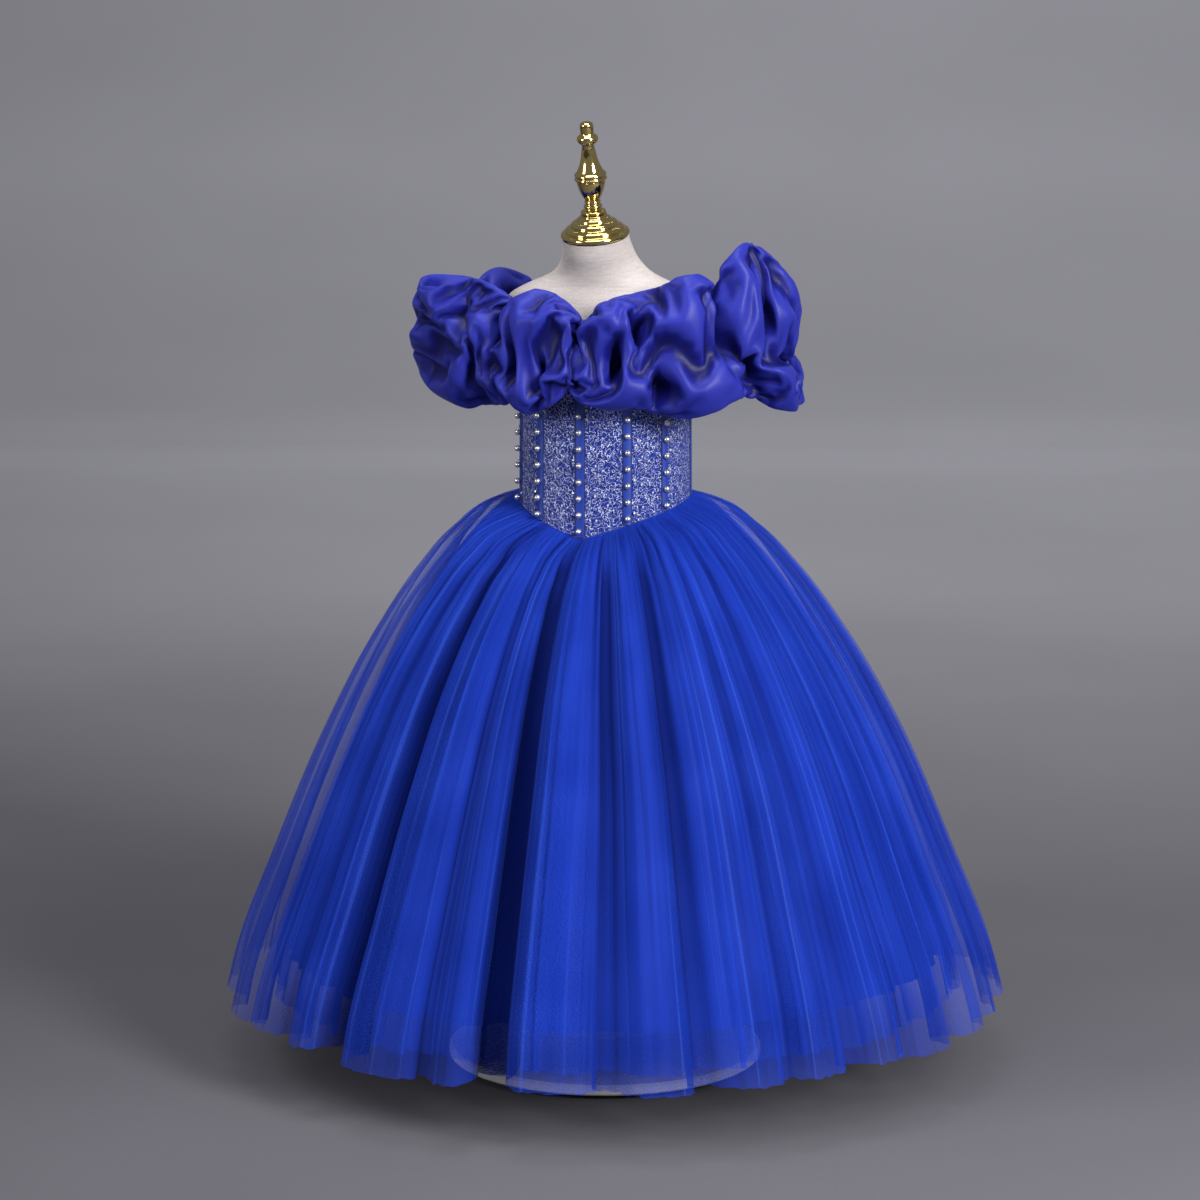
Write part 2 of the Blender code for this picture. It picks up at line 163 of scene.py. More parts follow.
base_paint = Finish("pale_base_paint", specular_ior_level=0.4)
orange_peel = base_paint.place.noise(420, 2)
scuffs = base_paint.place.noise(22, 6, 0.65)
base_paint.feed(base_color=scuffs.span(0.35, 0.75).tint(BASE_WHITE, (0.56, 0.56, 0.59)),
                roughness=scuffs.span(0.3, 0.7, 0.30, 0.46))
base_paint.emboss(orange_peel, 0.0002, 0.4)
refinish("form_base", base_paint)

plating = Finish("plated_steel", metallic=1.0)
drawn_lines = plating.place.stretched(900, 900, 12).noise(1, 3)
plating.feed(base_color=drawn_lines.tint(STEEL_GREY, (0.70, 0.70, 0.71)),
             roughness=drawn_lines.span(0.3, 0.7, 0.16, 0.30))
plating.emboss(drawn_lines, 0.0001, 0.3)
refinish("form_pole", plating)

# ------------------------------------------------------------------ linen torso
# A padded shell with a neck that leans forward, covered in plain natural linen pulled
# tight and glued under the neck cap and the base. No limbs; the shoulder ends are round.

FormSection = namedtuple("FormSection", "height half_width half_depth forward tilt")
FORM_SECTIONS = [
    FormSection(0.5302, 0.0900, 0.0780, 0.000, 0),
    FormSection(0.546, 0.1060, 0.0920, 0.000, 0),
    FormSection(0.600, 0.1040, 0.0880, 0.000, 0),
    FormSection(0.645, 0.0995, 0.0815, 0.000, 0),
    FormSection(0.690, 0.0990, 0.0810, 0.000, 0),
    FormSection(0.790, 0.0990, 0.0810, 0.000, 0),
    FormSection(0.830, 0.1036, 0.0848, 0.000, 0),
    FormSection(0.873, 0.1098, 0.0862, 0.000, 0),
    FormSection(0.890, 0.1180, 0.0790, 0.000, 0),
    FormSection(0.908, 0.1240, 0.0700, 0.000, 0),
    FormSection(0.926, 0.1160, 0.0610, 0.001, 0),
    FormSection(0.939, 0.0920, 0.0540, 0.004, 0),
    FormSection(0.951, 0.0640, 0.0490, 0.010, 3),
    FormSection(0.966, 0.0480, 0.0445, 0.018, 8),
    FormSection(0.984, 0.0412, 0.0410, 0.028, 13),
    FormSection(0.9978, 0.0390, 0.0390, 0.033, 13),
]


def read_smoothly(rows, key, values):
    """Columns of a table read at many values of its key, along smooth curves."""
    table = np.array([list(row) for row in rows], float)
    names = list(rows[0]._fields)
    along = table[:, names.index(key)]
    values = np.clip(np.asarray(values, float), along[0], along[-1])
    slopes = np.gradient(table, along, axis=0)
    cell = np.clip(np.searchsorted(along, values) - 1, 0, len(along) - 2)
    step = (along[cell + 1] - along[cell])[..., None]
    t = (values[..., None] - along[cell][..., None]) / step
    curve = ((1 + 2 * t) * (1 - t) ** 2 * table[cell] + t * (1 - t) ** 2 * step * slopes[cell]
             + t ** 2 * (3 - 2 * t) * table[cell + 1] + t ** 2 * (t - 1) * step * slopes[cell + 1])
    return type(rows[0])(*np.moveaxis(curve, -1, 0))


def woven(name, points, cloth=(1.0, 1.0), ring=False):
    """A mesh over a grid of points, rows by columns, with its cloth coordinates in metres."""
    rows, columns = points.shape[:2]
    index = np.arange(rows * columns).reshape(rows, columns)
    beside = np.roll(index, -1, axis=1) if ring else index
    last = columns if ring else columns - 1
    corners = [index[:-1, :last], (beside if ring else index[:, 1:])[:-1, :last],
               (beside if ring else index[:, 1:])[1:, :last], index[1:, :last]]
    faces = np.stack([part.ravel() for part in corners], axis=1)
    mesh = bpy.data.meshes.new(name)
    mesh.from_pydata(points.reshape(-1, 3).tolist(), [], faces.tolist())
    across = np.tile(np.arange(last), rows - 1)
    up = np.repeat(np.arange(rows - 1), last)
    u = np.stack([across, across + 1, across + 1, across], 1) / last * cloth[0]
    v = np.stack([up, up, up + 1, up + 1], 1) / (rows - 1) * cloth[1]
    mesh.uv_layers.new(name="cloth").data.foreach_set("uv", np.stack([u, v], 2).ravel())
    mesh.shade_smooth()
    piece = bpy.data.objects.new(name, mesh)
    bpy.context.scene.collection.objects.link(piece)
    return piece


def form_surface(turns, heights):
    """Points on the torso's face, its upper sections tilted with the neck."""
    section = read_smoothly(FORM_SECTIONS, "height", heights)
    back = -section.half_depth * np.cos(turns)
    return np.stack([section.half_width * np.sin(turns), back - section.forward,
                     section.height + back * np.tan(np.radians(section.tilt))], -1)


turns, heights = np.meshgrid(np.linspace(0, 2 * pi, 128, endpoint=False),
                             np.linspace(0.5302, 0.9978, 110))
torso = woven("torso", form_surface(turns, heights), (0.66, 0.50), ring=True)
linen = Finish("natural_linen", roughness=0.86, sheen_weight=0.15)
warp = linen.cloth.stretched(1500, 260, 1).noise(1, 2)
weft = linen.cloth.stretched(260, 1500, 1).noise(1, 2)
slubs = linen.cloth.stretched(30, 420, 1).noise(1, 3)
threads = warp * 0.5 + weft * 0.5
linen.feed(base_color=(threads * 0.7 + slubs * 0.3).span(0.36, 0.64)
           .tint((0.38, 0.337, 0.32), (0.59, 0.537, 0.515)))
linen.emboss(threads, 0.0005, 0.5)
dress(torso, linen, "linen", "form_torso")

# ------------------------------------------------------------------ brass cap and finial
# Turned and polished brass: a stepped cap that closes the neck, and an urn finial with a
# flared lip, a bottle neck and a round knob, screwed into the cap. Lacquered, few marks.

TurnedPoint = namedtuple("TurnedPoint", "radius height")
CAP_OUTLINE = [
    TurnedPoint(0.0372, 0.0000), TurnedPoint(0.0398, 0.0008), TurnedPoint(0.0407, 0.0028),
    TurnedPoint(0.0400, 0.0050), TurnedPoint(0.0378, 0.0062), TurnedPoint(0.0357, 0.0065),
    TurnedPoint(0.0350, 0.0072), TurnedPoint(0.0352, 0.0082), TurnedPoint(0.0345, 0.0102),
    TurnedPoint(0.0322, 0.0118), TurnedPoint(0.0298, 0.0126), TurnedPoint(0.0286, 0.0129),
    TurnedPoint(0.0281, 0.0137), TurnedPoint(0.0281, 0.0150), TurnedPoint(0.0268, 0.0170),
    TurnedPoint(0.0240, 0.0186), TurnedPoint(0.0222, 0.0191), TurnedPoint(0.0209, 0.0194),
    TurnedPoint(0.0205, 0.0202), TurnedPoint(0.0200, 0.0216), TurnedPoint(0.0184, 0.0232),
    TurnedPoint(0.0167, 0.0240), TurnedPoint(0.0160, 0.0247), TurnedPoint(0.0158, 0.0262),
    TurnedPoint(0.0120, 0.0268), TurnedPoint(0.0005, 0.0268),
]
FINIAL_OUTLINE = [
    TurnedPoint(0.0005, 0.0000), TurnedPoint(0.0124, 0.0000), TurnedPoint(0.0146, 0.0010),
    TurnedPoint(0.0150, 0.0028), TurnedPoint(0.0138, 0.0046), TurnedPoint(0.0112, 0.0056),
    TurnedPoint(0.0098, 0.0062), TurnedPoint(0.0095, 0.0072), TurnedPoint(0.0106, 0.0084),
    TurnedPoint(0.0110, 0.0098), TurnedPoint(0.0104, 0.0112), TurnedPoint(0.0090, 0.0120),
    TurnedPoint(0.0086, 0.0134), TurnedPoint(0.0096, 0.0146), TurnedPoint(0.0094, 0.0160),
    TurnedPoint(0.0088, 0.0170), TurnedPoint(0.0112, 0.0215), TurnedPoint(0.0140, 0.0275),
    TurnedPoint(0.0160, 0.0340), TurnedPoint(0.0168, 0.0385), TurnedPoint(0.0169, 0.0406),
    TurnedPoint(0.0186, 0.0416), TurnedPoint(0.0191, 0.0432), TurnedPoint(0.0186, 0.0447),
    TurnedPoint(0.0173, 0.0456), TurnedPoint(0.0184, 0.0466), TurnedPoint(0.0188, 0.0481),
    TurnedPoint(0.0182, 0.0496), TurnedPoint(0.0166, 0.0508), TurnedPoint(0.0144, 0.0545),
    TurnedPoint(0.0118, 0.0605), TurnedPoint(0.0098, 0.0680), TurnedPoint(0.0084, 0.0760),
    TurnedPoint(0.0078, 0.0830), TurnedPoint(0.0088, 0.0848), TurnedPoint(0.0112, 0.0866),
    TurnedPoint(0.0125, 0.0900), TurnedPoint(0.0118, 0.0934), TurnedPoint(0.0094, 0.0956),
    TurnedPoint(0.0082, 0.0966), TurnedPoint(0.0080, 0.1010), TurnedPoint(0.0081, 0.1056),
    TurnedPoint(0.0073, 0.1090), TurnedPoint(0.0046, 0.1108), TurnedPoint(0.0005, 0.1112),
]
NECK_LEAN = Matrix.Rotation(radians(13), 4, "X")
NECK_TOP = Vector((0, -0.033, 0.998))


def turned_brass(name, outline, foot, steps=72, between=3):
    """An outline spun round the neck's leaning axis, with its corners eased."""
    knots = np.array([list(point) for point in outline])
    walk = np.concatenate([[0], np.cumsum(np.hypot(*np.diff(knots, axis=0).T))])
    Spun = namedtuple("Spun", "walk radius height")
    rows = [Spun(w, r, h) for w, (r, h) in zip(walk, knots)]
    steps_along = np.unique(np.concatenate([
        np.linspace(a, b, between + 1) for a, b in zip(walk, walk[1:])]))
    line = read_smoothly(rows, "walk", steps_along)
    turn = np.linspace(0, 2 * pi, steps, endpoint=False)[None, :]
    radius = np.maximum(line.radius, 0.0002)[:, None]
    points = np.stack([radius * np.sin(turn), -radius * np.cos(turn),
                       np.broadcast_to(line.height[:, None], (len(steps_along), steps))], -1)
    piece = woven(name, points, (0.2, 0.15), ring=True)
    axis = NECK_LEAN @ Vector((0, 0, 1))
    piece.matrix_world = Matrix.Translation(NECK_TOP + axis * foot) @ NECK_LEAN
    return piece


brass = Finish("polished_brass", metallic=1.0, coat_roughness=0.05)
polish = brass.place.noise(60, 5, 0.7)
fingered = brass.place.noise(18, 3)
brass.feed(base_color=fingered.span(0.3, 0.7).tint((0.86, 0.68, 0.27), (0.76, 0.58, 0.20)),
           roughness=polish.span(0.3, 0.8, 0.05, 0.14))
brass.emboss(polish, 0.0001, 0.05)
dress(turned_brass("brass_neck_cap", CAP_OUTLINE, 0.0003), brass, "polished_brass", "neck_cap")
dress(turned_brass("brass_finial", FINIAL_OUTLINE, 0.0271), brass, "polished_brass",
      "neck_finial")

# ------------------------------------------------------------------ satin underskirt
# Dense satin, cut in gores and gathered to the waist, with a narrow turned hem 5 cm above
# the tulle's. It carries the skirt's deep folds; the tulle lies over it.

WAIST_Z, BASQUE_DROP, BASQUE_TIP, BASQUE_REACH = 0.692, 0.044, 3.0, 107.0
HEM_Z = 0.076
SkirtRow = namedtuple("SkirtRow", "share half_width half_depth back inset depth")
SKIRT_ROWS = [       # crest of the tulle; inset is the satin's, depth that of a full valley
    SkirtRow(0.00, 0.1040, 0.0860, 0.000, 0.0016, 0.0000),
    SkirtRow(0.02, 0.1450, 0.1300, 0.001, 0.0220, 0.0050),
    SkirtRow(0.07, 0.1905, 0.1800, 0.004, 0.0360, 0.0130),
    SkirtRow(0.15, 0.2360, 0.2290, 0.009, 0.0440, 0.0210),
    SkirtRow(0.28, 0.2915, 0.2880, 0.016, 0.0500, 0.0290),
    SkirtRow(0.47, 0.3545, 0.3520, 0.026, 0.0560, 0.0370),
    SkirtRow(0.72, 0.4195, 0.4180, 0.030, 0.0620, 0.0440),
    SkirtRow(0.93, 0.4690, 0.4680, 0.034, 0.0660, 0.0480),
    SkirtRow(1.00, 0.4800, 0.4790, 0.036, 0.0680, 0.0500),
]
# Valleys between the folds: degrees round, width of the floor, depth by the waist and at
# the hem, and how far the fold before it and the fold after it lap over it. A fold without
# a lap slopes down softly.
Valley = namedtuple("Valley", "angle floor depth hem_depth before after")
FRONT_VALLEYS = [
    Valley(-87, 1.2, 0.28, 0.22, 0.0, 0.3), Valley(-73, 1.2, 0.30, 0.25, 0.0, 0.4),
    Valley(-60, 1.3, 0.45, 0.45, 0.0, 0.6), Valley(-47, 1.4, 0.50, 0.50, 0.0, 0.7),
    Valley(-35, 2.4, 0.80, 0.70, 0.0, 0.8), Valley(-25.5, 4.4, 1.10, 1.05, 0.0, 1.1),
    Valley(-9.5, 1.2, 0.50, 0.35, 0.5, 0.0), Valley(1, 6.2, 1.25, 1.15, 1.1, 1.1),
    Valley(18, 3.2, 1.00, 0.55, 1.1, 0.0), Valley(32, 3.4, 1.00, 0.55, 1.1, 0.0),
    Valley(44.5, 1.6, 0.55, 0.35, 0.7, 0.0), Valley(55.5, 2.8, 0.80, 0.50, 0.9, 0.0),
    Valley(66, 1.2, 0.30, 0.20, 0.5, 0.0), Valley(77, 2.0, 0.55, 0.55, 0.9, 0.0),
    Valley(88, 1.2, 0.40, 0.35, 0.5, 0.0), Valley(99, 1.6, 0.60, 0.50, 0.0, 0.6),
]
FoldRing = namedtuple("FoldRing", "angle dent hem_dent number")


def valleys_all_round(front, seed, spacing=(9.0, 15.0)):
    """The given valleys, and more behind them until they close the ring."""
    draw = np.random.default_rng(seed)
    valleys = list(front)
    angle, end = valleys[-1].angle, valleys[0].angle + 360
    while angle < end - 1.7 * spacing[0]:
        angle += min(draw.uniform(*spacing), end - angle - 0.8 * spacing[0])
        lap = draw.uniform(0.4, 1.3)
        lapped = draw.random() < 0.5
        depth = draw.uniform(0.4, 1.0)
        valleys.append(Valley(angle, draw.uniform(1.0, 2.6), depth, depth * draw.uniform(0.4, 1),
                              lap * lapped, lap * (not lapped)))
    return valleys


def flank(lap, width, steps):
    """One side of a fold from its valley's floor out to its crest: angle and dent."""
    t = np.linspace(0, 1, steps, endpoint=False)
    if lap:
        return 0.10 * width * t - lap * np.sin(pi * t ** 0.8), (1 - t) ** 1.15
    return 0.52 * width * t, (1 - t) ** 1.7


def fold_ring(valleys, steps=13):
    """Once round a layer: angle, dent from 0 to 1 by waist and hem, and number of the fold."""
    rings = []
    ends = valleys[1:] + [valleys[0]._replace(angle=valleys[0].angle + 360)]
    for number, (here, after) in enumerate(zip(valleys, ends)):
        floor = here.angle + here.floor * np.array([-0.5, -0.17, 0.17])
        start, end = here.angle + here.floor / 2, after.angle - after.floor / 2
        rise, rise_dent = flank(here.after, end - start, steps)
        fall, fall_dent = flank(after.before, end - start, steps)
        crest = np.linspace(rise[-1] + start, end - fall[-1], steps + 2)[1:-1]
        angle = np.concatenate([floor, start + rise, crest, (end - fall)[::-1]])
        dents = [np.concatenate([
            np.full(3, here_depth), here_depth * rise_dent,
            0.05 * np.linspace(-1, 1, steps) ** 2, after_depth * fall_dent[::-1]])
            for here_depth, after_depth in ((here.depth, after.depth),
                                            (here.hem_depth, after.hem_depth))]
        rings.append(FoldRing(angle, *dents, 0 * angle + number))
    return FoldRing(*(np.concatenate(column) for column in zip(*rings)))


def dent_down(ring, shares):
    """The dents of a ring at each share of the way from the waist to the hem."""
    return ring.dent[None, :] * (1 - shares) + ring.hem_dent[None, :] * shares


def wander(angles, seed, waves):
    """A smooth uneven ripple round the ring, from -1 to 1, by summed whole waves."""
    draw = np.random.default_rng(seed)
    counts = draw.integers(waves[0], waves[1], 9)
    phases, sizes = draw.uniform(0, 2 * pi, 9), draw.uniform(0.3, 1, 9)
    total = sum(size * np.sin(np.radians(angles) * count + phase)
                for count, phase, size in zip(counts, phases, sizes))
    return np.clip(total / sizes.sum() * 2.2, -1, 1)


def basque(angles):
    """Height of the waist seam: level behind, dipping to a blunt point in front."""
    turned = (np.asarray(angles, float) + 180) % 360 - 180
    share = np.clip(1 - (np.abs(turned) - BASQUE_TIP) / BASQUE_REACH, 0, 1)
    return WAIST_Z - BASQUE_DROP * share ** 1.5


def under_ring(ring, angles):
    """The dents of a ring at other angles, its laps left out, for the layer beneath it."""
    along = np.maximum.accumulate(ring.angle)
    turned = (angles - along[0]) % 360 + along[0]
    dents = [np.interp(turned, np.append(along, along[0] + 360), np.append(dent, dent[0]))
             for dent in (ring.dent, ring.hem_dent)]
    return FoldRing(angles, *dents, 0 * angles)


def bell(angles, shares, inwards, drop=0.0, hem=HEM_Z):
    """Points of the skirt at angles and shares of its length, moved in from the crests."""
    row = read_smoothly(SKIRT_ROWS, "share", shares)
    top = basque(angles) - drop
    turn = np.radians(angles)
    return np.stack([(row.half_width - inwards) * np.sin(turn),
                     row.back - (row.half_depth - inwards) * np.cos(turn),
                     top + (hem - top) * shares], -1)


def mark_painted_shading(piece, depth):
    """Keeps on the cloth how deep in a fold each point lies, for the painted shade and painted
    highlight of its finish.
    """
    values = np.clip(depth, 0, 1).astype(np.float32)
    piece.data.attributes.new("painted_fold_shading", "FLOAT", "POINT").data.foreach_set(
        "value", values.ravel())


main_ring = fold_ring(valleys_all_round(FRONT_VALLEYS, 7))
satin_shares = np.linspace(0, 1, 56)[::-1, None] ** 1.35 * 0.912
row = read_smoothly(SKIRT_ROWS, "share", satin_shares)
satin_angles = np.sort(main_ring.angle)
satin_dent = 0.75 * dent_down(under_ring(main_ring, satin_angles), satin_shares)
satin_ripple = 0.010 * wander(satin_angles, 3, (9, 40))[None, :] * satin_shares
satin_in = row.inset + row.depth * 0.55 * satin_dent + np.abs(satin_ripple)
satin_skirt = woven("satin_underskirt", bell(satin_angles[None, :], satin_shares,
                                             satin_in, 0.0018), (3.4, 0.72), ring=True)
# How deep each point lies in its fold, kept for the painted shade in the valleys.
mark_painted_shading(satin_skirt, satin_dent + 0 * satin_in)

SATIN_BLUE, SATIN_DEEP = (0.006, 0.036, 0.44), (0.003, 0.022, 0.30)
satin = Finish("royal_satin", sheen_weight=0.05, sheen_tint=(0.25, 0.4, 1.0),
               specular_ior_level=0.15)
satin_yarn = satin.cloth.stretched(2600, 300, 1).noise(1, 2)
satin_drift = satin.cloth.noise(7, 3)
depth = satin.place.node("Attribute", {"attribute_name": "painted_fold_shading"}, output=2)
lit_satin = satin_drift.span(0.3, 0.7).tint(SATIN_DEEP, SATIN_BLUE)
# Painted shade: the colour turns to a near-black blue the deeper a point lies in its fold.
satin.feed(base_color=depth.span(0.05, 0.75, 0, 0.96).tint(lit_satin, (0.0, 0.004, 0.060)),
           roughness=satin_yarn.span(0.3, 0.7, 0.42, 0.56))
satin.emboss(satin_yarn, 0.0002, 0.35)
dress(satin_skirt, satin, "satin", "satin_front", "satin_back_left", "satin_back_right")

# ------------------------------------------------------------------ tulle overskirt
# Two layers of soft nylon tulle, gathered tightly into the waist seam over the satin and
# left raw at the hem. The folds lap over one another, and each fold's edge shows as a line,
# helped by painted sheen lines; painted shade darkens the folds.

GATHER_WAVES, LONG_PLEATS = (70, 125), (24, 70)


def gather_reach(angles, seed):
    """How far down the skirt the fine gathers run, at each angle."""
    return 0.07 + 0.30 * np.clip(wander(angles, seed + 1, (9, 34)), 0, 1) ** 2


def raw_hem(ring, seed, step, ripple):
    """Heights of the hem: each fold's hangs a little higher or lower than its neighbour's."""
    draw = np.random.default_rng(seed)
    steps = draw.uniform(-step, step, int(ring.number.max()) + 1)[ring.number.astype(int)]
    return HEM_Z + steps + ripple * wander(ring.angle, seed + 5, (60, 260))


def tulle_layer(name, ring, seed, inwards, drop, hem, lean):
    """A layer of tulle with folds, long pleats and fine gathers let into the waist."""
    rise = 1 - np.exp(-tulle_shares / 0.006)
    swing = lean * wander(ring.angle, seed + 9, (5, 17))[None, :] * np.sin(pi * tulle_shares)
    angles = ring.angle[None, :] + swing
    fine = wander(ring.angle, seed, GATHER_WAVES)[None, :] * np.exp(
        -tulle_shares / gather_reach(ring.angle, seed)[None, :]) * rise
    long = np.clip(wander(ring.angle, seed + 3, LONG_PLEATS), 0, 1)[None, :] ** 2 * rise
    into = inwards + 0.0050 * (fine + 1) * rise + (0.002 + 0.006 * tulle_shares) * long
    into = np.where(tulle_shares > 0.0005, into, 0.0004 + drop)
    piece = woven(name, bell(angles, tulle_shares, into, drop, hem), (3.6, 0.80), ring=True)
    # How deep each point lies in a fold, a gather's trough or a long pleat, kept for the painted
    # shade there.
    folds = dent_down(ring, tulle_shares) * np.clip(tulle_shares / 0.10, 0, 1) ** 0.6
    mark_painted_shading(piece, np.maximum(folds, 1.0 * np.clip(fine, 0, 1)) + 0.22 * long)
    return piece


tulle_shares = np.linspace(0, 1, 74)[::-1, None] ** 1.3
row = read_smoothly(SKIRT_ROWS, "share", tulle_shares)
outer_tulle = tulle_layer("tulle_outer", main_ring, 31,
                          row.depth * dent_down(main_ring, tulle_shares), 0.0,
                          raw_hem(main_ring, 41, 0.006, 0.0015)[None, :] + 0.001, 0.5)

inner_ring = fold_ring(valleys_all_round([Valley(-90, 1.2, 0.8, 0.7, 1.0, 0)], 17, (5.5, 10.0)), 9)
main_dent = dent_down(under_ring(main_ring, inner_ring.angle), tulle_shares)
outer_at = row.depth * main_dent + 0.010 * tulle_shares + 0.008 * np.clip(tulle_shares / 0.03, 0, 1)
satin_at = row.inset + row.depth * 0.40 * main_dent - 0.004
between = 0.74 + 0.24 * dent_down(inner_ring, tulle_shares)
# The layer beneath wanders between the outer one and the satin.
under_tulle = tulle_layer("tulle_under", inner_ring, 51,
                          outer_at + np.maximum(satin_at - outer_at, 0) * between,
                          0.0004, raw_hem(inner_ring, 43, 0.005, 0.0015)[None, :] + 0.012, 0.8)

TULLE_BLUE, TULLE_LIGHT = (0.010, 0.044, 0.50), (0.022, 0.075, 0.70)
# The first of these is painted shade, in the folds and in thin lines; the second is painted sheen
# along fold edges.
TULLE_PAINTED_SHADE, TULLE_PAINTED_SHEEN = (0.0, 0.005, 0.10), (0.045, 0.13, 0.80)


def tulle_finish(name, veil, seed):
    """A net of fine blue yarn: mostly holes, drawn as a film that is denser in its folds, with
    painted shade in its folds and gathers, thin darker lines and painted sheen lines.
    """
    made = Finish(name, roughness=0.65, sheen_weight=0.05, sheen_tint=(0.3, 0.5, 1.0),
                  specular_ior_level=0.06)
    yarn = made.cloth.noise(850, 0).span(0.40, 0.62)
    streak = made.cloth.stretched(75, 1.4, 1).noise(1, 1)
    cloud = made.cloth.node("TexNoise", {"noise_dimensions": "4D"},
                            {"Vector": made.cloth, "Scale": 9, "W": seed, "Detail": 1})
    depth = made.place.node("Attribute", {"attribute_name": "painted_fold_shading"}, output=2)
    low, high = veil
    density = low + (high - low) * yarn + streak.span(0.35, 0.65, -0.07, 0.07) + depth * 0.5
    lit = cloud.span(0.3, 0.7).tint(TULLE_BLUE, TULLE_LIGHT)
    # Thin darker lines down the cloth, drawn in the painted shade colour.
    lined = streak.span(0.56, 0.70, 0.0, 0.50).tint(lit, TULLE_PAINTED_SHADE)
    # Thin painted sheen lines down the cloth for the fold edges, where the net also grows denser.
    edges = made.cloth.stretched(160, 0.9, 1).noise(1, 1).span(0.60, 0.68, 0.0, 0.55)
    lined = edges.tint(lined, TULLE_PAINTED_SHEEN)
    # Painted shade: darker the deeper a point lies in a fold or a gather's trough.
    made.feed(base_color=depth.span(0.04, 0.85, 0.0, 0.97).tint(lined, TULLE_PAINTED_SHADE),
              alpha=density + edges * 0.15)
    made.emboss(yarn, 0.0003, 0.25)
    return made


for piece, veil, seed in ((outer_tulle, (0.17, 0.43), 1.0), (under_tulle, (0.22, 0.50), 5.0)):
    dress(piece, tulle_finish(piece.name + "_net", veil, seed), "tulle",
          "tulle_front", "tulle_back_left", "tulle_back_right")

# ------------------------------------------------------------------ bodice panels
# Eight panels of bouclé tweed, blue and silver-white yarn in a tight loop, stitched to the
# lining and seamed into the waist; the boning channels lie over the seams.

BodiceSection = namedtuple("BodiceSection", "height half_width half_depth")
BODICE_SECTIONS = [
    BodiceSection(0.640, 0.1048, 0.0868), BodiceSection(0.740, 0.1040, 0.0860),
    BodiceSection(0.790, 0.1040, 0.0860), BodiceSection(0.830, 0.1070, 0.0880),
    BodiceSection(0.872, 0.1130, 0.0895),
]
NECKLINE_Z, ZIP_HALF_ANGLE = 0.872, 1.7
BODICE_HALF_WIDTH, BODICE_HALF_DEPTH = 0.104, 0.086
PANEL_RADIUS, PANEL_LENGTH = 0.098, 0.21      # what a panel's angle and height are cut to
PanelCut = namedtuple("PanelCut", "name start end")
PANEL_CUTS = [
    PanelCut("bodice_front_centre", 0.0, 31.5), PanelCut("bodice_front_side", 31.5, 60.0),
    PanelCut("bodice_side", 60.0, 98.0), PanelCut("bodice_back", 98.0, 180 - ZIP_HALF_ANGLE),
]


def on_bodice(angles, heights, outwards):
    """Points on the bodice at angles and heights, moved out from its face."""
    section = read_smoothly(BODICE_SECTIONS, "height", heights)
    turn = np.radians(angles)
    return np.stack([(section.half_width + outwards) * np.sin(turn),
                     -(section.half_depth + outwards) * np.cos(turn),
                     np.broadcast_to(heights, np.broadcast(angles, heights).shape)], -1)


def tweed_panel(cut, side):
    """A panel of one side, from its waist seam up and over the neckline to the lining."""
    angles = side * np.linspace(cut.start, cut.end, 44)[None, :]
    share = np.concatenate([np.linspace(0, 1, 64), np.ones(3), [0.97]])[:, None]
    inward = np.concatenate([np.zeros(64), [0.0008, 0.0015, 0.0018], [0.0019]])[:, None]
    low = basque(angles)
    heights = low + (NECKLINE_Z - low) * share
    seam = np.minimum(angles * side - cut.start, cut.end - angles * side)
    roll = 0.0006 * np.exp(-seam / 1.2)
    puckers = 0.0004 * np.sin(heights * 390 + side * 3) * np.exp(-seam / 3.0)
    return on_bodice(angles, heights, -inward - roll + puckers)[:, ::side]


tweed = Finish("boucle_tweed", sheen_weight=0.1, specular_ior_level=0.3)


def strands(scale, seed, fine, width):
    """Curling lengths of yarn: the lines along which a noise crosses its middle."""
    field = tweed.cloth.node("TexNoise", {"noise_dimensions": "4D"}, {
        "Vector": tweed.cloth, "Scale": scale, "W": seed, "Detail": fine, "Distortion": 0.6})
    return abs(field - 0.5).span(width, 1.5 * width, 1.0, 0.0)


silver_yarn = strands(235, 1.0, 1.0, 0.0120)
pale_yarn = strands(255, 7.0, 1.0, 0.008)
blue_yarn = tweed.cloth.noise(300, 2)
ground = blue_yarn.span(0.42, 0.58).tint((0.001, 0.005, 0.10), (0.008, 0.031, 0.32))
ground = (pale_yarn * 0.8).tint(ground, (0.10, 0.18, 0.62))
yarns = (silver_yarn * 0.97).tint(ground, (0.80, 0.84, 0.95))
tweed.feed(base_color=yarns, roughness=silver_yarn.span(0, 1, 0.75, 0.42))
tweed.emboss(silver_yarn + pale_yarn * 0.6 + blue_yarn * 0.5, 0.0010, 0.5)
for cut in PANEL_CUTS:
    for side, hand in ((1, "left"), (-1, "right")):
        flat = (radians(cut.end - cut.start) * PANEL_RADIUS, PANEL_LENGTH)
        panel = woven(f"tweed_{cut.name}_{hand}", tweed_panel(cut, side), flat)
        dress(panel, tweed, "tweed", f"{cut.name}_{hand}")

# ------------------------------------------------------------------ boning channels
# Bias tubes of the royal satin over plastic bones, topstitched down both edges on the
# panel seams from the ruffle to the waist.

CHANNEL_WIDTH, CHANNEL_CUT, CHANNEL_TOP_Z = 0.0105, 0.0125, 0.870
BoningChannel = namedtuple("BoningChannel", "name angle beads")
CHANNELS = [
    BoningChannel("centre", 0.0, 8), BoningChannel("front_left", 31.5, 7),
    BoningChannel("front_right", -31.5, 7), BoningChannel("side_front_left", 60.0, 7),
    BoningChannel("side_front_right", -60.0, 7), BoningChannel("side_left", 98.0, 0),
    BoningChannel("side_right", -98.0, 0),
]


